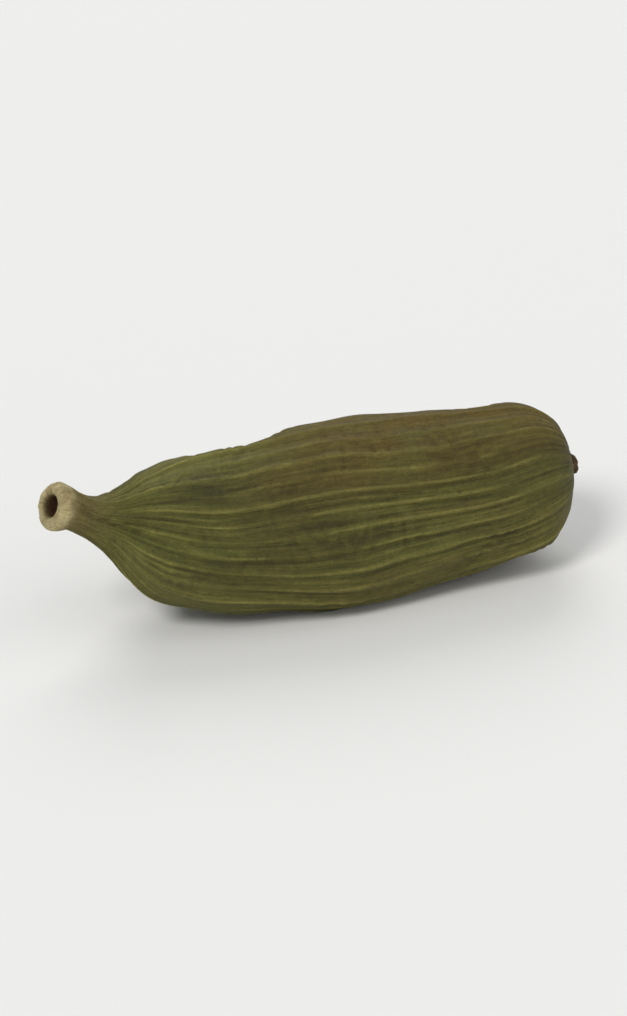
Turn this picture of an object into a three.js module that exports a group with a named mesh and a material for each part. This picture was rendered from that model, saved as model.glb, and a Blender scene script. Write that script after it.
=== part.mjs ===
// A green cardamom pod lying on its side: one dried, closed seed capsule. It has three rounded lobes,
// fine ribs along its length, a bent neck that ends in a hollow stalk scar, and a blunt apex.
// Millimetres, +Z up. X runs from the stalk scar to the apex, and -Y is the side that the neck bends to.
// The pod rests on the side between two lobes. Its origin is on the surface under it, below the middle
// of its outline.
import * as THREE from "three";

// Driving dimensions.
const LENGTH = 19;
const BELLY_RADIUS = 3.25;
const SCAR_RADIUS = 0.84;
const RIBS = 30;
const RIB_HEIGHT = 0.075;

// The section: each lobe stands out, and each side between two lobes lies in, by LOBE_SHARE of the
// radius. One lobe is on top. From front to back the pod is a little thinner than it is high.
const LOBES = 3;
const LOBE_SHARE = 0.082;
const TOP_LOBE = Math.PI / 2;
const DEPTH_SHARE = 0.96;

// Smaller forms, in millimetres. A rib's crest is narrower than the valley beside it as its sharpness
// passes 1.
const CREST_SHARPNESS = 1.5;
const KEEL_HEIGHT = 0.06;
const FURROW_DEPTH = 0.13;
const FURROW_HALF_WIDTH = 0.2;
const SEED_SWELL = 0.04;
const SEED_PITCH = 2.7;
const DENT_DEPTH = 0.05;
const PLEAT_DEPTH = 0.07;
const PLEATS = 9;

// Angles in radians: how far a row of seeds lies from the middle of its lobe, and its half width.
const SEED_ROW_ANGLE = 0.44;
const SEED_HALF_WIDTH = 0.24;

// Where along the pod each form begins, is full, begins to fade and is gone, as shares of LENGTH.
const BODY_RUN = [0.1, 0.3, 0.86, 0.99];
const RIB_RUN = [0.05, 0.16, 0.94, 1.0];
const VEIN_RUN = [0.16, 0.34, 0.82, 0.97];
const FURROW_RUN = [0.1, 0.2, 0.5, 0.85];
const PLEAT_RUN = [0.04, 0.12, 0.16, 0.3];

// How the pod lies: it tips until the belly is down, and its lowest skin is pressed flat.
const REST_PITCH = THREE.MathUtils.degToRad(4.9);
const REST_ROLL = THREE.MathUtils.degToRad(2);
const FLAT_DEPTH = 0.18;

// The mesh: points round each rib, and the longest step between two rows of points, in millimetres.
const COLUMNS_PER_RIB = 4;
const ROW_STEP = 0.6;

// The scar and the neck: distance along the pod and radius, as shares of SCAR_RADIUS. The first point
// is the floor of the hollow, and the profile then runs out over the lip and down to the neck.
const SCAR_PROFILE = [
  [0.62, 0],
  [0.6, 0.24],
  [0.34, 0.4],
  [0.04, 0.5],
  [0.0, 0.78],
  [0.22, 1.0],
  [0.56, 0.94],
  [1.0, 0.8],
];

// The body: distance along the pod as a share of LENGTH, and radius as a share of BELLY_RADIUS.
const BODY_PROFILE = [
  [0.082, 0.225],
  [0.118, 0.33],
  [0.158, 0.55],
  [0.207, 0.73],
  [0.285, 0.83],
  [0.4, 0.91],
  [0.52, 1.0],
  [0.64, 0.965],
  [0.755, 0.91],
  [0.86, 0.845],
  [0.93, 0.765],
  [0.969, 0.57],
  [0.987, 0.36],
  [0.994, 0.18],
  [1.0, 0.105],
  [1.008, 0.085],
  [1.012, 0.05],
  [1.013, 0],
];

// The line through the middle of every section: distance along as a share of LENGTH, then how far it
// stands to the back and how far up, as shares of BELLY_RADIUS. The belly sags, and the neck comes
// forwards and up.
const SPINE = [
  [-0.02, -0.34, 0.33],
  [0.03, -0.22, 0.19],
  [0.08, -0.11, 0.0],
  [0.15, -0.03, -0.16],
  [0.3, 0.0, -0.38],
  [0.53, 0.02, -0.31],
  [0.8, 0.01, -0.14],
  [0.95, -0.01, 0.04],
  [1.03, -0.01, 0.08],
];

const turn = 2 * Math.PI;
const smoothstep = THREE.MathUtils.smoothstep;

// A repeatable number from 0 to 1 for each whole number.
function chance(number) {
  const value = Math.sin(number * 12.9898) * 43758.5453;
  return value - Math.floor(value);
}

// How much of a form with this run a place has, from 0 to 1.
function shareOf([begins, full, fades, ends], along) {
  return smoothstep(along, begins, full) * (1 - smoothstep(along, fades, ends));
}

// A whole number's place in a ring of so many.
function inRing(number, count) {
  return ((number % count) + count) % count;
}

// Distance between two angles, from -pi to pi.
function angleBetween(a, b) {
  return Math.atan2(Math.sin(a - b), Math.cos(a - b));
}

// One rib's crest in millimetres, at a rib coordinate that is whole on each crest. Every other rib is
// a weaker vein that fades before it reaches the ends. The ribs on the lobes are the keels.
function ribHeight(ribCoordinate, along) {
  const rib = Math.round(ribCoordinate);
  const number = inRing(rib, RIBS);
  const crest = (0.5 + 0.5 * Math.cos(turn * (ribCoordinate - rib))) ** CREST_SHARPNESS;
  const isVein = number % 2 === 1;
  const swell = 0.75 + 0.25 * Math.sin(turn * (along * (1.5 + chance(number)) + chance(number + 40)));
  const strength = (isVein ? 0.6 : 0.85) + 0.3 * chance(number + 80);
  const keel = number % (RIBS / LOBES) === 0 ? KEEL_HEIGHT * shareOf(BODY_RUN, along) : 0;
  return crest * (RIB_HEIGHT * strength * swell + keel) * shareOf(isVein ? VEIN_RUN : RIB_RUN, along);
}

// The shallow furrow down the middle of each side, deepest towards the neck.
function furrow(angle, along) {
  const side = angleBetween(LOBES * (angle - TOP_LOBE), Math.PI) / LOBES;
  return -FURROW_DEPTH * shareOf(FURROW_RUN, along) * Math.exp(-((side / FURROW_HALF_WIDTH) ** 2));
}

// Two rows of seeds swell the skin of each lobe.
function seedSwell(angle, along) {
  const lobe = angleBetween(LOBES * (angle - TOP_LOBE), 0) / LOBES;
  const number = inRing(Math.round(((angle - lobe - TOP_LOBE) / turn) * LOBES), LOBES);
  const row = lobe < 0 ? 0 : 1;
  const across = Math.exp(-(((Math.abs(lobe) - SEED_ROW_ANGLE) / SEED_HALF_WIDTH) ** 2));
  const places = (along * LENGTH) / SEED_PITCH + 0.5 * row + chance(number + 7);
  return SEED_SWELL * across * Math.cos(turn * places) * shareOf(BODY_RUN, along);
}

// Wide, uneven hollows and swellings that the husk dried into.
function dents(angle, along) {
  const wave =
    Math.sin(2 * angle + 7 * along + 0.6) * Math.sin(9 * along + 1.1) +
    0.6 * Math.sin(angle - 13 * along + 2.2) +
    0.4 * Math.sin(5 * angle + 17 * along + 0.3);
  return DENT_DEPTH * wave * shareOf(BODY_RUN, along);
}

// Coarse pleats where the skin gathers into the neck.
function pleats(angle, along) {
  return PLEAT_DEPTH * shareOf(PLEAT_RUN, along) * Math.cos(PLEATS * angle + 0.8 + 6 * along);
}

// The radius at one angle, where the plain round section has this radius.
function sectionRadius(round, angle, ribCoordinate, along) {
  const lobing = LOBE_SHARE * (0.25 + 0.75 * shareOf(BODY_RUN, along)) * smoothstep(along, 0.05, 0.16);
  const lobed = round * (1 + lobing * Math.cos(LOBES * (angle - TOP_LOBE)));
  const fine = Math.min(1, round / (0.35 * BELLY_RADIUS));
  const relief =
    fine * ribHeight(ribCoordinate, along) +
    furrow(angle, along) +
    seedSwell(angle, along) +
    dents(angle, along) +
    pleats(angle, along);
  return lobed + relief;
}

// The whole outline from the floor of the scar to the tip of the apex, as [along, radius] in
// millimetres on a smooth curve.
const profile = new THREE.CatmullRomCurve3(
  [
    ...SCAR_PROFILE.map(([along, radius]) => [along * SCAR_RADIUS, radius * SCAR_RADIUS]),
    ...BODY_PROFILE.map(([along, radius]) => [along * LENGTH, radius * BELLY_RADIUS]),
  ].map(([along, radius]) => new THREE.Vector3(along, radius, 0)),
);
const spine = new THREE.CatmullRomCurve3(
  SPINE.map(([along, back, up]) =>
    new THREE.Vector3(along * LENGTH, back * BELLY_RADIUS, up * BELLY_RADIUS)),
);

// The point and direction of the spine at a distance along the pod, found by halving.
function spineAt(along) {
  let low = 0;
  let high = 1;
  for (let step = 0; step < 40; step += 1) {
    const middle = (low + high) / 2;
    if (spine.getPoint(middle).x < along) low = middle;
    else high = middle;
  }
  return { point: spine.getPoint(low), tangent: spine.getTangent(low) };
}

// A point of the skin. The ribs wander a little, so the angle follows the rib and not the reverse.
function skinPoint(along, round, ribCoordinate) {
  const share = along / LENGTH;
  const straight = TOP_LOBE + (turn * ribCoordinate) / RIBS;
  const wander = 0.2 * Math.sin(5 * share + 0.9) + 0.12 * Math.sin(11 * share + 3 * straight);
  const angle = straight + (turn * wander * shareOf(BODY_RUN, share)) / RIBS;
  const radius = round > 0 ? sectionRadius(round, angle, ribCoordinate, share) : 0;
  const { point, tangent } = spineAt(along);
  const front = new THREE.Vector3().crossVectors(tangent, new THREE.Vector3(0, 0, 1)).normalize();
  const up = new THREE.Vector3().crossVectors(front, tangent).normalize();
  return point
    .addScaledVector(front, radius * DEPTH_SHARE * Math.cos(angle))
    .addScaledVector(up, radius * Math.sin(angle));
}

// The places of the rows of points, from the first after the floor of the scar to the last before the
// tip. Each span of the outline is cut into even steps.
function rowPlaces() {
  const spans = profile.points.length - 1;
  const places = [];
  for (let span = 0; span < spans; span += 1) {
    const length = profile.points[span].distanceTo(profile.points[span + 1]);
    const steps = Math.ceil(length / ROW_STEP);
    for (let step = 0; step < steps; step += 1) {
      places.push(profile.getPoint((span + step / steps) / spans));
    }
  }
  return places.slice(1);
}

// The closed skin: a pole, rows of points round the pod, and a pole.
function podGeometry() {
  const columns = RIBS * COLUMNS_PER_RIB;
  const places = rowPlaces();
  const rows = places.length;
  const points = [];
  for (const { x: along, y: round } of places) {
    for (let column = 0; column < columns; column += 1) {
      points.push(skinPoint(along, round, column / COLUMNS_PER_RIB));
    }
  }
  const firstPole = points.push(skinPoint(profile.points[0].x, 0, 0)) - 1;
  const lastPole = points.push(skinPoint(profile.points.at(-1).x, 0, 0)) - 1;
  const faces = [];
  for (let column = 0; column < columns; column += 1) {
    const next = (column + 1) % columns;
    for (let row = 0; row < rows - 1; row += 1) {
      const [a, b] = [row * columns + column, row * columns + next];
      faces.push(a, a + columns, b, b, a + columns, b + columns);
    }
    const last = (rows - 1) * columns;
    faces.push(firstPole, column, next, last + next, last + column, lastPole);
  }
  const geometry = new THREE.BufferGeometry().setFromPoints(points);
  geometry.setIndex(faces);
  return geometry;
}

// Lays the pod on the surface: its lowest skin is pressed flat at z = 0, and the middle of its outline
// stands over the origin.
function layDown(geometry) {
  geometry.rotateX(REST_ROLL);
  geometry.rotateY(REST_PITCH);
  geometry.computeBoundingBox();
  const { min, max } = geometry.boundingBox;
  const surface = min.z + FLAT_DEPTH;
  const places = geometry.getAttribute("position");
  for (let i = 0; i < places.count; i += 1) {
    places.setXYZ(
      i,
      places.getX(i) - (min.x + max.x) / 2,
      places.getY(i) - (min.y + max.y) / 2,
      Math.max(places.getZ(i), surface) - surface,
    );
  }
  geometry.computeVertexNormals();
  return geometry;
}

const husk = new THREE.MeshStandardMaterial({ color: 0x7d7843, roughness: 0.62, metalness: 0 });
const pod = new THREE.Mesh(layDown(podGeometry()), husk);
pod.name = "pod";

const cardamom = new THREE.Group();
cardamom.add(pod);

export default cardamom;
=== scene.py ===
"""A green cardamom pod on a pale floor: one dried, closed seed capsule, lying on its side.

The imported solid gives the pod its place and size. A finer skin stands for it here. It has the solid's
outline, lobes and ribs, and also the lines, creases, wrinkled tip and torn stalk scar that are too fine for
the solid. The pod's own sizes are in millimetres, and the meshes are in metres."""
import math

import bmesh
import bpy
from mathutils import Matrix, Quaternion, Vector, noise


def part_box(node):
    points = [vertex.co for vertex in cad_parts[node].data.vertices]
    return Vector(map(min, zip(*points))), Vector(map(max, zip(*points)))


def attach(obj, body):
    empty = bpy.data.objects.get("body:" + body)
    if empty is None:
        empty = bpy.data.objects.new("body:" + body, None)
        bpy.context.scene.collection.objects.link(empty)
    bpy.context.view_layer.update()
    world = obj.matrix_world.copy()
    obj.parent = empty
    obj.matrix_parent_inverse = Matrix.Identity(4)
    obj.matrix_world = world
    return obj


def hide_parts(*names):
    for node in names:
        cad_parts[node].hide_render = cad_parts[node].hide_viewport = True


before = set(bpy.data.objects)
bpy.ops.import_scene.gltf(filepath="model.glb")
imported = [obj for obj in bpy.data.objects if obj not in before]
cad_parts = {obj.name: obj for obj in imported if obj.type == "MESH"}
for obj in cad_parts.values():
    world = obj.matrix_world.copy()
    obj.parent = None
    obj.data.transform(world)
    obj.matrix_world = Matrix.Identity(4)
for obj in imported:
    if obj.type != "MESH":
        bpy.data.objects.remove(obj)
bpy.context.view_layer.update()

MM = 0.001
TURN = 2 * math.pi

# The pod's driving sizes, as its solid has them: lengths in millimetres, angles in radians, counts and
# shares. The depth share is the pod's depth from front to back as a share of its height.
LENGTH = 19
BELLY_RADIUS = 3.25
SCAR_RADIUS = 0.84
RIBS = 30
RIB_HEIGHT = 0.075
LOBES = 3
LOBE_SHARE = 0.082
TOP_LOBE = math.pi / 2
DEPTH_SHARE = 0.96
CREST_SHARPNESS = 1.5
KEEL_HEIGHT = 0.06
FURROW_DEPTH = 0.13
SEED_SWELL = 0.04
SEED_PITCH = 2.7
DENT_DEPTH = 0.05
PLEAT_DEPTH = 0.07
PLEATS = 9
PLEAT_START = 0.8
PLEAT_TWIST = 6
REST_PITCH = math.radians(4.9)
REST_ROLL = math.radians(2)
FLAT_DEPTH = 0.18

# Angles in radians: half the width of a furrow, how far a row of seeds lies from the middle of its lobe,
# and half its width.
FURROW_HALF_WIDTH = 0.2
SEED_ROW_ANGLE = 0.44
SEED_HALF_WIDTH = 0.24

# How strong a rib and a vein are, how much they differ among themselves, how much each one swells and
# fades on its way, and how often it does so at the least. Every other rib is a vein.
RIB_STRENGTH = 0.85
VEIN_STRENGTH = 0.6
STRENGTH_SPREAD = 0.3
STRENGTH_SWELL = 0.25
FEWEST_SWELLS = 1.5

# How far the ribs wander to the sides, in slow and in quick waves, as shares of the space for one rib.
SLOW_WANDER = 0.2
QUICK_WANDER = 0.12

# Where along the pod each form begins, is full, begins to fade and is gone, as shares of LENGTH.
BODY_RUN = (0.1, 0.3, 0.86, 0.99)
RIB_RUN = (0.05, 0.16, 0.94, 1.0)
VEIN_RUN = (0.16, 0.34, 0.82, 0.97)
FURROW_RUN = (0.1, 0.2, 0.5, 0.85)
PLEAT_RUN = (0.04, 0.12, 0.16, 0.3)

# Where the lobes and the dried tip begin and are full, as shares of LENGTH, and how strong the lobes are at
# the ends, as a share of what they are on the body.
LOBE_START = (0.05, 0.16)
TIP_START = (0.99, 1.0)
END_LOBING = 0.25

# Finer forms that only this skin has, in millimetres.
LINE_HEIGHT = 0.03
HAIRLINE_HEIGHT = 0.03
GRAIN_HEIGHT = 0.018
CREASE_DEPTH = 0.05
PUCKER_DEPTH = 0.03
TORN_DEPTH = 0.1

# How much the torn lip also grows or shrinks outwards, how much the tip wrinkles and tears, as shares, and
# how fine the lip's tears and the tip's wrinkles are.
TORN_SPREAD = 0.5
TIP_WRINKLE = 0.45
TIP_TEAR = 0.12
LIP_FINENESS = 2
TIP_FINENESS = 3

# The thin lines and the hairlines: how sharp they are, how many hairlines go to a rib, how far both wander,
# as a share of the space for one rib, how strong the thin lines are on average and how much that varies.
LINE_SHARPNESS = 7
HAIRLINE_SHARPNESS = 3
HAIRLINES_PER_RIB = 2
LINE_WANDER = 0.07
LINE_STRENGTH = 0.75
LINE_SPREAD = 0.5

# Uneven patterns of the fine forms: the sizes of their cells in millimetres, round the belly and along the
# pod, and a number that sets each pattern apart from the others.
COARSE_GRAIN = (0.36, 3.2, 3)
FINE_GRAIN = (0.16, 1.5, 11)
LINE_BENDS = (1.6, 4.5, 17)
LINE_BREAKS = (0.8, 1.3, 61)
HAIRLINE_PATCHES = (0.9, 3.0, 71)
CREASE_PATCHES = (1.6, 2.6, 23)
CREASE_FOLDS = (1.0, 0.55, 31)
PUCKERS = (1.1, 1.7, 47)

# How strong the fine grain is beside the coarse one, the noise at which hairlines and patches of creases
# begin and are full, and the noise at which a crease is deepest and ends.
FINE_GRAIN_SHARE = 0.6
HAIRLINE_RISE = (-0.4, 0.3)
CREASE_RISE = (-0.1, 0.35)
CREASE_FALL = (0.0, 0.28)

# The ridge value colours the skin, from 0 in the valleys to 1 on the lines. Each form adds its share.
# Low ridge values paint shade into the valleys and creases, and high ones paint paler lines, partly straw
# and partly painted highlight.
GROUND_RIDGE = 0.27
CREST_RIDGE = 0.24
LINE_RIDGE = 0.4
HAIRLINE_RIDGE = 0.36
GRAIN_RIDGE = 0.18
# A crease lowers the ridge value, which paints shade into it.
CREASE_RIDGE = -0.14

# The mesh of the skin: points round each rib, the longest step between two rows of points, and the share of
# BELLY_RADIUS from which a ring is wide enough for all of the fine forms.
COLUMNS_PER_RIB = 12
ROW_STEP = 0.09
FINE_FORMS_FULL = 0.35

# Outline of the scar and the neck, from the floor of the hollow over the lip: distance along the pod and
# radius, as shares of SCAR_RADIUS.
SCAR_PROFILE = [
    (0.62, 0),
    (0.6, 0.24),
    (0.34, 0.4),
    (0.04, 0.5),
    (0.0, 0.78),
    (0.22, 1.0),
    (0.56, 0.94),
    (1.0, 0.8),
]

# Outline of the body: distance along as a share of LENGTH, and radius as a share of BELLY_RADIUS.
BODY_PROFILE = [
    (0.082, 0.225),
    (0.118, 0.33),
    (0.158, 0.55),
    (0.207, 0.73),
    (0.285, 0.83),
    (0.4, 0.91),
    (0.52, 1.0),
    (0.64, 0.965),
    (0.755, 0.91),
    (0.86, 0.845),
    (0.93, 0.765),
    (0.969, 0.57),
    (0.987, 0.36),
    (0.994, 0.18),
    (1.0, 0.105),
    (1.008, 0.085),
    (1.012, 0.05),
    (1.013, 0),
]

# The line through the middle of every section: distance along as a share of LENGTH, then how far it
# stands to the back and how far up, as shares of BELLY_RADIUS.
SPINE = [
    (-0.02, -0.34, 0.33),
    (0.03, -0.22, 0.19),
    (0.08, -0.11, 0.0),
    (0.15, -0.03, -0.16),
    (0.3, 0.0, -0.38),
    (0.53, 0.02, -0.31),
    (0.8, 0.01, -0.14),
    (0.95, -0.01, 0.04),
    (1.03, -0.01, 0.08),
]

# How closely a place on the spine is found, and the short step that gives its direction, in spans.
SPINE_CLOSENESS = 1e-7
SPINE_STEP = 1e-4

# Places on the outline, counted in its points: the lip of the scar is about point 4, and the neck begins
# at point 7. The lip and the cork have a run, and the hollow and the stalk end between two places.
LIP_RUN = (3.0, 4.2, 4.2, 6.2)
CORK_RUN = (2.2, 3.4, 5.0, 6.6)
HOLLOW_END = (1.8, 3.6)
STALK_END = (6.0, 9.4)


# Small sums that several forms use.
def smooth_step(value, low, high):
    share = min(1, max(0, (value - low) / (high - low)))
    return share * share * (3 - 2 * share)


def chance(number):
    """A repeatable number from 0 to 1 for each whole number."""
    return (math.sin(number * 12.9898) * 43758.5453) % 1


def angle_between(a, b):
    return math.atan2(math.sin(a - b), math.cos(a - b))


def bell(value, half_width):
    return math.exp(-((value / half_width) ** 2))


def curve_point(points, place):
    """A point of the smooth curve through these points, where place counts its spans from 0."""
    span = min(int(place), len(points) - 2)
    share = place - span
    start, end = points[span], points[span + 1]
    before = points[span - 1] if span > 0 else 2 * start - end
    after = points[span + 2] if span + 2 < len(points) else 2 * end - start
    gap_before = (start - before).length ** 0.5
    gap = (end - start).length ** 0.5
    gap_after = (after - end).length ** 0.5
    middle = (end - start) / gap
    leave = ((start - before) / gap_before - (end - before) / (gap_before + gap) + middle) * gap
    arrive = (middle - (after - start) / (gap + gap_after) + (after - end) / gap_after) * gap
    square, cube = share**2, share**3
    from_start = start * (2 * cube - 3 * square + 1) + leave * (cube - 2 * square + share)
    return from_start + end * (3 * square - 2 * cube) + arrive * (cube - square)


OUTLINE = [Vector((along * SCAR_RADIUS, radius * SCAR_RADIUS, 0)) for along, radius in SCAR_PROFILE]
OUTLINE += [Vector((along * LENGTH, radius * BELLY_RADIUS, 0)) for along, radius in BODY_PROFILE]
SPINE_POINTS = [
    Vector((along * LENGTH, back * BELLY_RADIUS, up * BELLY_RADIUS)) for along, back, up in SPINE
]


# The forms that the solid has too.
def share_of(run, place):
    """How much of a form with this run a place has, from 0 to 1."""
    begins, full, fades, ends = run
    return smooth_step(place, begins, full) * (1 - smooth_step(place, fades, ends))


def wave(rib):
    """1 on each whole number and 0 half way between."""
    return 0.5 + 0.5 * math.cos(TURN * rib)


def rib_strength(rib, along):
    """How strong a rib is at a place. Every other one is a weaker vein that fades before the ends."""
    number = round(rib) % RIBS
    is_vein = number % 2 == 1
    swells = along * (FEWEST_SWELLS + chance(number)) + chance(number + 40)
    swell = 1 - STRENGTH_SWELL + STRENGTH_SWELL * math.sin(TURN * swells)
    strength = (VEIN_STRENGTH if is_vein else RIB_STRENGTH) + STRENGTH_SPREAD * chance(number + 80)
    return strength * swell * share_of(VEIN_RUN if is_vein else RIB_RUN, along)


def keel(rib, along):
    """The extra height of the rib along the middle of each lobe, in millimetres."""
    on_lobe = round(rib) % (RIBS // LOBES) == 0
    return KEEL_HEIGHT * share_of(BODY_RUN, along) * share_of(RIB_RUN, along) if on_lobe else 0


def furrow(angle, along):
    """The groove between two lobes, in millimetres."""
    side = angle_between(LOBES * (angle - TOP_LOBE), math.pi) / LOBES
    return -FURROW_DEPTH * share_of(FURROW_RUN, along) * bell(side, FURROW_HALF_WIDTH)


def seed_swell(angle, along):
    """The swellings over two rows of seeds in each lobe, in millimetres."""
    lobe = angle_between(LOBES * (angle - TOP_LOBE), 0) / LOBES
    number = round((angle - lobe - TOP_LOBE) / TURN * LOBES) % LOBES
    half_pitch = 0 if lobe < 0 else 0.5
    across = bell(abs(lobe) - SEED_ROW_ANGLE, SEED_HALF_WIDTH)
    places = along * LENGTH / SEED_PITCH + half_pitch + chance(number + 7)
    return SEED_SWELL * across * math.cos(TURN * places) * share_of(BODY_RUN, along)


def dents(angle, along):
    """Shallow dents, in millimetres: slow waves that cross the body at a slant, so no two sides match."""
    swell = math.sin(2 * angle + 7 * along + 0.6) * math.sin(9 * along + 1.1)
    swell += 0.6 * math.sin(angle - 13 * along + 2.2)
    swell += 0.4 * math.sin(5 * angle + 17 * along + 0.3)
    return DENT_DEPTH * swell * share_of(BODY_RUN, along)


def pleats(angle, along):
    """Soft pleats where the body narrows to the neck, in millimetres."""
    around = PLEATS * angle + PLEAT_START + PLEAT_TWIST * along
    return PLEAT_DEPTH * share_of(PLEAT_RUN, along) * math.cos(around)


# The forms that only this skin has. They read a place on the pod as if it were straight, so that they
# run with its ribs.
def uneven(angle, along, pattern):
    """Noise from -1 to 1, in one of the uneven patterns of the fine forms."""
    round_size, long_size, number = pattern
    reach = BELLY_RADIUS / round_size
    distance = along * LENGTH / long_size + number
    return noise.noise(Vector((reach * math.cos(angle), reach * math.sin(angle), distance)))


def grain(angle, along):
    """Fine, uneven streaks, from about -1 to 1."""
    return uneven(angle, along, COARSE_GRAIN) + FINE_GRAIN_SHARE * uneven(angle, along, FINE_GRAIN)


def lines(rib, angle, along, strength):
    """A thin raised line on each rib, and hairlines on and between the ribs, all broken in places.

    Both are 0 beside a line and about 1 on it."""
    bent = rib + LINE_WANDER * uneven(angle, along, LINE_BENDS)
    line = wave(bent) ** LINE_SHARPNESS * strength
    line *= LINE_STRENGTH + LINE_SPREAD * uneven(angle, along, LINE_BREAKS)
    hairline = wave(HAIRLINES_PER_RIB * bent) ** HAIRLINE_SHARPNESS
    hairline *= smooth_step(uneven(angle, along, HAIRLINE_PATCHES), *HAIRLINE_RISE)
    return line, hairline


def creases(angle, along):
    """Short folds across the pod, in patches, as dried skin has, from 0 to 1."""
    patch = smooth_step(uneven(angle, along, CREASE_PATCHES), *CREASE_RISE)
    fold = abs(uneven(angle, along, CREASE_FOLDS))
    return patch * (1 - smooth_step(fold, *CREASE_FALL))


def puckers(angle, along):
    """Small hollows and bumps of the dried skin, in millimetres."""
    return PUCKER_DEPTH * uneven(angle, along, PUCKERS) * share_of(BODY_RUN, along)


def torn_noise(angle):
    """How far the lip of the scar is torn at an angle, from -1 to 1."""
    return noise.noise(Vector((LIP_FINENESS * math.cos(angle), LIP_FINENESS * math.sin(angle), 5)))


def wrinkle_noise(angle, distance):
    """How far the dried tip stands out at an angle, from -1 to 1."""
    return noise.noise(TIP_FINENESS * Vector((math.cos(angle), math.sin(angle), distance)))


class Section:
    """One ring of the skin, at a place on the outline that counts the outline's points."""

    def __init__(self, place):
        outline = curve_point(OUTLINE, place)
        self.distance = outline.x
        self.round = max(0, outline.y)
        self.along = self.distance / LENGTH
        self.on_body = share_of(BODY_RUN, self.along)
        self.find_centre()
        self.fine = min(1, self.round / (FINE_FORMS_FULL * BELLY_RADIUS))
        self.lobing = LOBE_SHARE * (END_LOBING + (1 - END_LOBING) * self.on_body)
        self.lobing *= smooth_step(self.along, *LOBE_START)
        self.tip = smooth_step(self.along, *TIP_START)
        self.lip = share_of(LIP_RUN, place)
        self.hollow = 1 - smooth_step(place, *HOLLOW_END)
        self.cork = share_of(CORK_RUN, place)
        self.stalk = 1 - smooth_step(place, *STALK_END)

    def find_centre(self):
        """Finds the ring's middle on the spine, and the directions along the pod, to its front and up."""
        low, high = 0.0, len(SPINE_POINTS) - 1.0
        while high - low > SPINE_CLOSENESS:
            middle = (low + high) / 2
            if curve_point(SPINE_POINTS, middle).x < self.distance:
                low = middle
            else:
                high = middle
        self.centre = curve_point(SPINE_POINTS, low)
        self.tangent = (curve_point(SPINE_POINTS, low + SPINE_STEP) - self.centre).normalized()
        self.front = self.tangent.cross(Vector((0, 0, 1))).normalized()
        self.up = self.front.cross(self.tangent).normalized()

    def fine_forms(self, rib, straight):
        """The height of the rib with the fine forms on it, in millimetres, and the ridge value."""
        strength = rib_strength(rib, self.along)
        crest = wave(rib) ** CREST_SHARPNESS
        line, hairline = lines(rib, straight, self.along, strength)
        streak = grain(straight, self.along)
        crease = creases(straight, self.along)
        height = crest * (RIB_HEIGHT * strength + keel(rib, self.along))
        height += LINE_HEIGHT * line + HAIRLINE_HEIGHT * hairline
        height += GRAIN_HEIGHT * streak - CREASE_DEPTH * crease
        ridge = GROUND_RIDGE + CREST_RIDGE * crest * strength
        ridge += LINE_RIDGE * line + HAIRLINE_RIDGE * hairline
        ridge += GRAIN_RIDGE * streak + CREASE_RIDGE * crease
        return height, min(1, max(0, ridge))

    def point(self, rib):
        """The place of the skin at a rib coordinate, in millimetres, and the ridge value there."""
        straight = TOP_LOBE + TURN * rib / RIBS
        wander = SLOW_WANDER * math.sin(5 * self.along + 0.9)
        wander += QUICK_WANDER * math.sin(11 * self.along + LOBES * straight)
        angle = straight + TURN * wander * self.on_body / RIBS
        height, ridge = self.fine_forms(rib, straight)
        relief = self.fine * height + pleats(angle, self.along) + puckers(straight, self.along)
        relief += furrow(angle, self.along) + seed_swell(angle, self.along) + dents(angle, self.along)
        lobed = 1 + self.lobing * math.cos(LOBES * (angle - TOP_LOBE))
        radius = self.round * lobed + relief if self.round > 0 else 0

        # The lip of the scar is torn, and the dried tip is wrinkled and torn.
        lengthwise = TORN_DEPTH * self.lip * torn_noise(angle)
        radius += TORN_SPREAD * lengthwise
        wrinkle = self.tip * wrinkle_noise(angle, self.distance)
        radius *= 1 + TIP_WRINKLE * wrinkle
        lengthwise += TIP_TEAR * self.round * wrinkle

        across = self.front * (DEPTH_SHARE * radius * math.cos(angle)) + self.up * (radius * math.sin(angle))
        return self.centre + across + self.tangent * lengthwise, ridge


def sections():
    """Rings from the floor of the scar to the tip: each span of the outline is cut into even steps."""
    places = []
    for span in range(len(OUTLINE) - 1):
        steps = math.ceil((OUTLINE[span + 1] - OUTLINE[span]).length / ROW_STEP)
        places += [span + step / steps for step in range(steps)]
    places.append(len(OUTLINE) - 1)
    return [Section(place) for place in places]


def lay_down(bm):
    """Turns the pod belly down, presses its lowest skin flat at 0, and fits it to the solid's box."""
    turned = Matrix.Rotation(REST_PITCH, 4, "Y") @ Matrix.Rotation(REST_ROLL, 4, "X")
    bmesh.ops.transform(bm, matrix=turned, verts=bm.verts)
    surface = min(vert.co.z for vert in bm.verts) + FLAT_DEPTH
    for vert in bm.verts:
        vert.co.z = max(vert.co.z, surface) - surface
    low = Vector([min(vert.co[axis] for vert in bm.verts) for axis in range(3)])
    high = Vector([max(vert.co[axis] for vert in bm.verts) for axis in range(3)])
    solid_low, solid_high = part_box("pod")
    scale = Vector([(solid_high[i] - solid_low[i]) / (high[i] - low[i]) for i in range(3)])
    fit = Matrix.Translation(solid_low) @ Matrix.Diagonal((*scale, 1)) @ Matrix.Translation(-low)
    bmesh.ops.transform(bm, matrix=fit, verts=bm.verts)


def make_piece(bm, name, material):
    """Turns a bmesh into a piece of the scene."""
    mesh = bpy.data.meshes.new(name)
    bm.to_mesh(mesh)
    bm.free()
    mesh.materials.append(material)
    piece = bpy.data.objects.new(name, mesh)
    bpy.context.scene.collection.objects.link(piece)
    return piece


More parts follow.
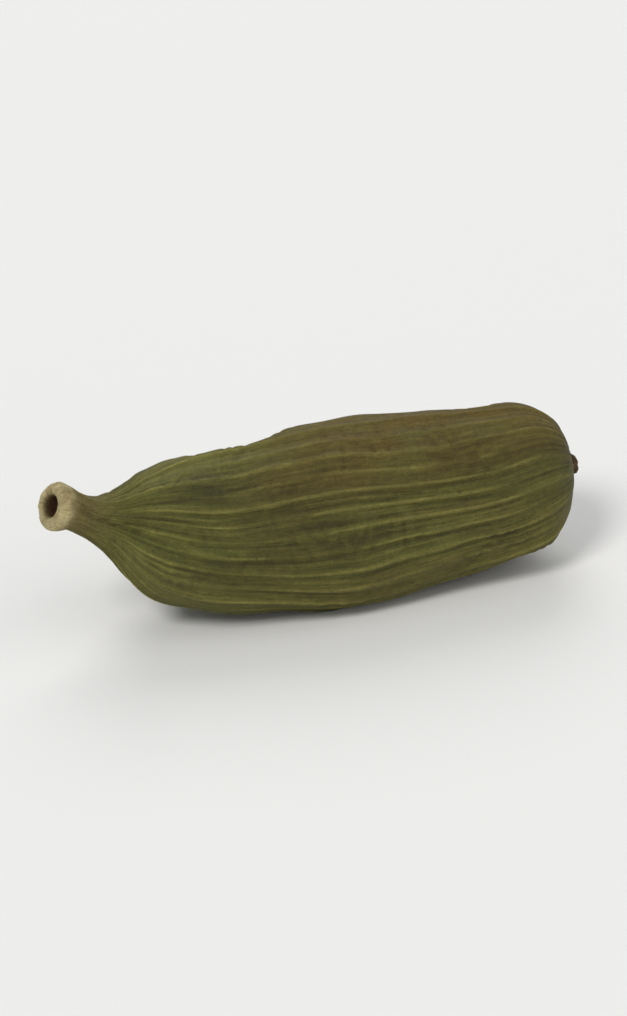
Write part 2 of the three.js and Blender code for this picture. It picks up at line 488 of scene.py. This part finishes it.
def make_husk(material):
    """The whole skin of the pod: a sphere whose rings and columns are moved to the pod's own.

    Its points carry what its material reads: the place as if the pod were straight, the ridge value, and
    how much each point belongs to a keel, the hollow, the cork and the stalk."""
    rings = sections()
    rows = len(rings) - 1
    columns = RIBS * COLUMNS_PER_RIB
    bm = bmesh.new()
    bmesh.ops.create_uvsphere(bm, u_segments=columns, v_segments=rows, radius=1)
    straight_layer = bm.verts.layers.float_vector.new("straight")
    ridge_layer = bm.verts.layers.float.new("ridge")
    keel_layer = bm.verts.layers.float.new("keel")
    hollow_layer = bm.verts.layers.float.new("hollow")
    cork_layer = bm.verts.layers.float.new("cork")
    stalk_layer = bm.verts.layers.float.new("stalk")
    for vert in bm.verts:
        ring = rings[round(math.acos(max(-1, min(1, vert.co.z))) / math.pi * rows)]
        rib = (math.atan2(vert.co.y, vert.co.x) / TURN) % 1 * RIBS
        angle = TOP_LOBE + TURN * rib / RIBS
        vert.co, vert[ridge_layer] = ring.point(rib)
        across = BELLY_RADIUS * Vector((math.cos(angle), math.sin(angle), 0))
        vert[straight_layer] = across + Vector((0, 0, ring.distance))
        vert[keel_layer] = wave(LOBES * rib / RIBS)
        vert[hollow_layer] = ring.hollow
        vert[cork_layer] = ring.cork
        vert[stalk_layer] = ring.stalk
    lay_down(bm)
    bmesh.ops.recalc_face_normals(bm, faces=bm.faces)
    husk = make_piece(bm, "husk", material)
    husk.data.polygons.foreach_set("use_smooth", [True] * len(husk.data.polygons))
    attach(husk, "root")
    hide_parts("pod")


# Colours of the husk.
def linear(red, green, blue):
    """A colour from its 0 to 255 screen values."""
    steps = [value / 255 for value in (red, green, blue)]
    return (*[s / 12.92 if s <= 0.04045 else ((s + 0.055) / 1.055) ** 2.4 for s in steps], 1)


OLIVE = linear(78, 73, 29)
MOSS = linear(84, 85, 35)
# SHADE is painted shade for the valleys and creases.
SHADE = linear(48, 45, 18)
STRAW = linear(137, 130, 66)
BLUSH = linear(99, 77, 31)
STALK_BROWN = linear(138, 121, 74)
TIP_BROWN = linear(104, 80, 50)
CREAM = linear(190, 176, 130)
CORK_SHADE = linear(152, 134, 90)
# Painted shade in the scar's hollow, dark reddish brown.
PIT_PAINTED_SHADE = linear(70, 42, 24)
SPECK = linear(58, 42, 24)

# Patterns of the husk's colour: cells per millimetre, detail and roughness.
PATCHES = (0.7, 3.0, 0.55)
STREAKS = (4.5, 3.0, 0.55)
FIBRES = (15.0, 2.0, 0.55)
MOTTLE = (4.0, 5.0, 0.65)
LEATHER = (13.0, 3.0, 0.6)
BLOTCHES = (1.1, 3.0, 0.55)
RUBBED = (2.6, 5.0, 0.55)
CORK_GRAIN = (2.4, 4.0, 0.55)
SPECKS_PER_MM = 1.2

# Shares that draw a pattern out along the pod.
PATCH_STRETCH = (1, 1, 0.3)
BLOTCH_STRETCH = (1, 1, 0.4)
STREAK_STRETCH = (1, 1, 0.06)

# Where a pattern begins to count and counts in full. Heights and distances are in millimetres.
PATCH_RISE = (0.36, 0.62)
BLUSH_HEIGHT = (1.4, 3.3)
BLUSH_DISTANCE = (5.0, 10.0)
SPECK_EDGE = (0.1, 0.04)
RUBBED_RISE = (0.58, 0.7)
CORK_RISE = (0.35, 0.75)
BODY_DISTANCE = (3.0, 7.0)
NOISE_RISE = (0.32, 0.68)

# Where a colour begins to show and shows in full, and how strong it is there. The neck's and the tip's
# places are in millimetres.
NECK_MOSS = (9.0, 3.0, 0.7)
PALE_STREAKS = (0.45, 0.75, 0.3)
# Painted shade in the valleys and creases, where the ridge value is low.
PAINTED_VALLEY_SHADE = (0.4, 0.1, 0.7)
# Paler lines and keels: partly their own straw colour, partly painted highlight.
LINE_STRAW_AND_HIGHLIGHT = (0.4, 0.9, 0.55)
KEEL_STRAW_AND_HIGHLIGHT = (0.6, 1.0, 0.22)
CHOSEN_SPECKS = (0.62, 0.64, 0.5)
SCUFFED_LINES = (0.3, 0.8, 0.4)
BROWN_TIP = (18.95, 19.1, 0.9)

# How strong the stalk's brown is, how far the tip's brown wanders in millimetres, how much of the blush
# stays low on the sides, and how much of its brightness the body keeps.
STALK_STRENGTH = 0.7
TIP_RAGGEDNESS = 0.3
LOW_BLUSH = 0.2
BODY_BRIGHTNESS = 0.83

# The fibres, the mottling and the leathery grain go over the whole husk: how much each darkens and lightens
# it, and how far each stands out in millimetres.
FIBRE_LOOK = (0.18, 0.05)
MOTTLE_LOOK = (0.14, 0.07)
LEATHER_LOOK = (0.12, 0.045)

# How strongly those patterns bend the light, the husk's shine, and how rough it is between and on fibres.
BUMP_STRENGTH = 0.9
HUSK_SHINE = 0.22
HUSK_ROUGHNESS = (0.5, 0.75)

# Sockets of a Mix node that mixes colours.
MIX_FACTOR, MIX_FIRST, MIX_SECOND, MIX_RESULT = 0, 6, 7, 2


# Small steps of a material.
def add_node(tree, kind, inputs=None, **settings):
    """Adds a shader node, with its settings, and fills or links its inputs by name or number."""
    node = tree.nodes.new("ShaderNode" + kind)
    for name, value in settings.items():
        setattr(node, name, value)
    for name, value in (inputs or {}).items():
        if isinstance(value, bpy.types.NodeSocket):
            tree.links.new(value, node.inputs[name])
        else:
            node.inputs[name].default_value = value
    return node


def mix(tree, factor, first, second, blend="MIX"):
    inputs = {MIX_FACTOR: factor, MIX_FIRST: first, MIX_SECOND: second}
    return add_node(tree, "Mix", inputs, data_type="RGBA", blend_type=blend).outputs[MIX_RESULT]


def maths(tree, operation, *values):
    return add_node(tree, "Math", dict(enumerate(values)), operation=operation).outputs[0]


def rise(tree, value, low, high):
    """0 at low, 1 at high, and smooth between."""
    inputs = {"Value": value, "From Min": low, "From Max": high}
    return add_node(tree, "MapRange", inputs, interpolation_type="SMOOTHSTEP").outputs["Result"]


def showing(tree, value, begins, full, strength):
    """0 where a colour begins to show, and its strength where it shows in full."""
    return maths(tree, "MULTIPLY", rise(tree, value, begins, full), strength)


def noise_at(tree, place, cells, detail, roughness):
    inputs = {"Vector": place, "Scale": cells, "Detail": detail, "Roughness": roughness}
    return add_node(tree, "TexNoise", inputs).outputs["Fac"]


def stretched(tree, place, shares):
    return add_node(tree, "Mapping", {"Vector": place, "Scale": shares}).outputs["Vector"]


def attribute(tree, name, output="Fac"):
    return add_node(tree, "Attribute", attribute_name=name).outputs[output]


def shaded(tree, colour, value, first, last, low, high):
    """The colour times a number that runs from first to last as the value grows from low to high."""
    inputs = {"Value": value, "From Min": low, "From Max": high, "To Min": first, "To Max": last}
    return mix(tree, 1.0, colour, add_node(tree, "MapRange", inputs).outputs["Result"], "MULTIPLY")


# The husk's material. Here skin is a place as if the pod were straight, spot is a place on the pod as it
# lies, and along is the distance from the scar, all in millimetres.
def skin_colour(tree, skin, ridge, along):
    """Long patches of olive and moss, with more moss in the neck half, painted shade in the valleys and
    creases, pale streaks, and pale lines and keels that are partly straw and partly painted highlight."""
    patches = noise_at(tree, stretched(tree, skin, PATCH_STRETCH), *PATCHES)
    neck_half = showing(tree, along, *NECK_MOSS)
    moss = maths(tree, "MAXIMUM", rise(tree, patches, *PATCH_RISE), neck_half)
    colour = mix(tree, moss, OLIVE, MOSS)
    streaks = noise_at(tree, stretched(tree, skin, STREAK_STRETCH), *STREAKS)
    colour = mix(tree, showing(tree, streaks, *PALE_STREAKS), colour, STRAW)
    # Painted shade darkens the valleys and creases.
    colour = mix(tree, showing(tree, ridge, *PAINTED_VALLEY_SHADE), colour, SHADE)
    # The lines and keels are paler: partly straw, partly painted highlight where they catch the light.
    colour = mix(tree, showing(tree, ridge, *LINE_STRAW_AND_HIGHLIGHT), colour, STRAW)
    return mix(tree, showing(tree, attribute(tree, "keel"), *KEEL_STRAW_AND_HIGHLIGHT), colour, STRAW)


def add_blush(tree, colour, skin, along):
    """An orange-brown blush over the apex half, strongest along its top."""
    height = add_node(tree, "SeparateXYZ", {"Vector": skin}).outputs["Y"]
    top = maths(tree, "MAXIMUM", rise(tree, height, *BLUSH_HEIGHT), LOW_BLUSH)
    apex_half = maths(tree, "MULTIPLY", top, rise(tree, along, *BLUSH_DISTANCE))
    blotches = noise_at(tree, stretched(tree, skin, BLOTCH_STRETCH), *BLOTCHES)
    return mix(tree, maths(tree, "MULTIPLY", apex_half, blotches), colour, BLUSH)


def add_wear(tree, colour, skin, spot, ridge):
    """Small dark specks, and pale scuffs where the outer skin has rubbed off the lines."""
    dots = add_node(tree, "TexVoronoi", {"Vector": spot, "Scale": SPECKS_PER_MM})
    near = rise(tree, dots.outputs["Distance"], *SPECK_EDGE)
    draw = add_node(tree, "SeparateColor", {"Color": dots.outputs["Color"]}).outputs["Red"]
    speck = maths(tree, "MULTIPLY", near, showing(tree, draw, *CHOSEN_SPECKS))
    colour = mix(tree, speck, colour, SPECK)
    rubbed = noise_at(tree, stretched(tree, skin, BLOTCH_STRETCH), *RUBBED)
    lines_show = showing(tree, ridge, *SCUFFED_LINES)
    scuff = maths(tree, "MULTIPLY", rise(tree, rubbed, *RUBBED_RISE), lines_show)
    return mix(tree, scuff, colour, STRAW)


def add_ends(tree, colour, spot, along, mottle):
    """The stalk's brown, the corky collar round the scar, painted shade in its hollow, and the dried tip."""
    stalk = maths(tree, "MULTIPLY", attribute(tree, "stalk"), STALK_STRENGTH)
    colour = mix(tree, stalk, colour, STALK_BROWN)
    cork_grain = rise(tree, noise_at(tree, spot, *CORK_GRAIN), *CORK_RISE)
    cork_colour = mix(tree, cork_grain, CREAM, CORK_SHADE)
    colour = mix(tree, attribute(tree, "cork"), colour, cork_colour)
    # Painted shade in the scar's hollow.
    colour = mix(tree, attribute(tree, "hollow"), colour, PIT_PAINTED_SHADE)
    ragged = maths(tree, "ADD", along, maths(tree, "MULTIPLY", mottle, TIP_RAGGEDNESS))
    return mix(tree, showing(tree, ragged, *BROWN_TIP), colour, TIP_BROWN)


def make_husk_material():
    material = bpy.data.materials.new("dry green husk")
    material.use_nodes = True
    tree = material.node_tree
    shader = tree.nodes["Principled BSDF"]
    skin = attribute(tree, "straight", "Vector")
    spot = stretched(tree, add_node(tree, "TexCoord").outputs["Object"], (1 / MM, 1 / MM, 1 / MM))
    along = add_node(tree, "SeparateXYZ", {"Vector": skin}).outputs["Z"]
    ridge = attribute(tree, "ridge")
    fibres = noise_at(tree, stretched(tree, skin, STREAK_STRETCH), *FIBRES)
    mottle = noise_at(tree, spot, *MOTTLE)
    leather = noise_at(tree, spot, *LEATHER)

    colour = skin_colour(tree, skin, ridge, along)
    colour = add_blush(tree, colour, skin, along)
    colour = add_wear(tree, colour, skin, spot, ridge)
    colour = shaded(tree, colour, along, 1.0, BODY_BRIGHTNESS, *BODY_DISTANCE)
    colour = add_ends(tree, colour, spot, along, mottle)
    normal = None
    for pattern, look in ((fibres, FIBRE_LOOK), (mottle, MOTTLE_LOOK), (leather, LEATHER_LOOK)):
        contrast, height = look
        colour = shaded(tree, colour, pattern, 1 - contrast, 1 + contrast, *NOISE_RISE)
        inputs = {"Height": pattern, "Strength": BUMP_STRENGTH, "Distance": height * MM}
        if normal:
            inputs["Normal"] = normal
        normal = add_node(tree, "Bump", inputs).outputs["Normal"]

    smoothest, roughest = HUSK_ROUGHNESS
    rough = add_node(tree, "MapRange", {"Value": fibres, "To Min": smoothest, "To Max": roughest})
    tree.links.new(colour, shader.inputs["Base Color"])
    tree.links.new(rough.outputs["Result"], shader.inputs["Roughness"])
    tree.links.new(normal, shader.inputs["Normal"])
    shader.inputs["Specular IOR Level"].default_value = HUSK_SHINE
    return material


# The stage: a wide pale floor, soft studio light and the camera. Its sizes are in metres.
FLOOR_COLOUR = (0.75, 0.74, 0.713, 1)
FLOOR_ROUGHNESS = 0.7
FLOOR_HALF_WIDTH = 3.0
AIR_COLOUR = (0.92, 0.95, 1.0, 1)
AIR_STRENGTH = 0.4
FAR_FLOOR_LOOK = (0.86, 0.86, 0.84, 1)

# Each light: name, azimuth and elevation in degrees, softness in degrees, and strength.
LIGHTS = [
    ("key light", -46, 48, 20, 1.7),
    ("fill light", 60, 30, 60, 0.85),
    ("back light", 170, 42, 40, 1.0),
]

# The camera's angles in degrees, its lens and sensor in millimetres, how near and how far it sees in
# metres, the picture in pixels, and how much of the picture's width the pod fills.
CAMERA_AZIMUTH = -12
CAMERA_ELEVATION = 27
CAMERA_ROLL = 4
LENS_MM = 100
SENSOR_MM = 36
NEAREST = 0.001
FARTHEST = 20
PICTURE_WIDTH, PICTURE_HEIGHT = 627, 1016
POD_SHARE_OF_WIDTH = 0.88


def direction(azimuth, elevation):
    """From the pod towards a viewer. Azimuth 0 looks along +Y, and a growing one goes round towards +X."""
    side, up = math.radians(azimuth), math.radians(elevation)
    level = math.cos(up)
    return Vector((math.sin(side) * level, -math.cos(side) * level, math.sin(up)))


def make_floor():
    material = bpy.data.materials.new("pale floor")
    material.use_nodes = True
    shader = material.node_tree.nodes["Principled BSDF"]
    shader.inputs["Base Color"].default_value = FLOOR_COLOUR
    shader.inputs["Roughness"].default_value = FLOOR_ROUGHNESS
    bm = bmesh.new()
    bmesh.ops.create_grid(bm, x_segments=1, y_segments=1, size=FLOOR_HALF_WIDTH)
    make_piece(bm, "floor", material)


def make_lights():
    for name, azimuth, elevation, softness, strength in LIGHTS:
        light = bpy.data.lights.new(name, "SUN")
        light.angle = math.radians(softness)
        light.energy = strength
        lamp = bpy.data.objects.new(name, light)
        lamp.rotation_euler = direction(azimuth, elevation).to_track_quat("Z", "Y").to_euler()
        bpy.context.scene.collection.objects.link(lamp)


def make_air():
    """Pale air all round that lights the pod softly. Seen past the floor, it looks as the floor does."""
    world = bpy.data.worlds.new("studio air")
    world.use_nodes = True
    tree = world.node_tree
    air = tree.nodes["Background"]
    air.inputs["Color"].default_value = AIR_COLOUR
    air.inputs["Strength"].default_value = AIR_STRENGTH
    far_floor = add_node(tree, "Background", {"Color": FAR_FLOOR_LOOK})
    seen = add_node(tree, "LightPath").outputs["Is Camera Ray"]
    both = add_node(tree, "MixShader", {0: seen, 1: air.outputs[0], 2: far_floor.outputs[0]})
    tree.links.new(both.outputs[0], tree.nodes["World Output"].inputs["Surface"])
    bpy.context.scene.world = world


def make_camera(target, length):
    """A long lens from the photograph's side, far enough back that the pod fills its share of the width."""
    camera = bpy.data.cameras.new("camera")
    camera.lens = LENS_MM
    camera.sensor_width = SENSOR_MM
    camera.clip_start = NEAREST
    camera.clip_end = FARTHEST
    picture_width_mm = SENSOR_MM * PICTURE_WIDTH / PICTURE_HEIGHT
    distance = length / POD_SHARE_OF_WIDTH * LENS_MM / picture_width_mm
    viewer = bpy.data.objects.new("camera", camera)
    viewer.location = target + direction(CAMERA_AZIMUTH, CAMERA_ELEVATION) * distance
    look = (target - viewer.location).to_track_quat("-Z", "Y")
    roll = Quaternion((0, 0, 1), -math.radians(CAMERA_ROLL))
    viewer.rotation_euler = (look @ roll).to_euler()
    bpy.context.scene.collection.objects.link(viewer)
    bpy.context.scene.camera = viewer


make_husk(make_husk_material())
pod_low, pod_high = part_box("pod")
make_floor()
make_lights()
make_air()
make_camera((pod_low + pod_high) / 2, pod_high.x - pod_low.x)
bpy.context.scene.view_settings.view_transform = "Standard"
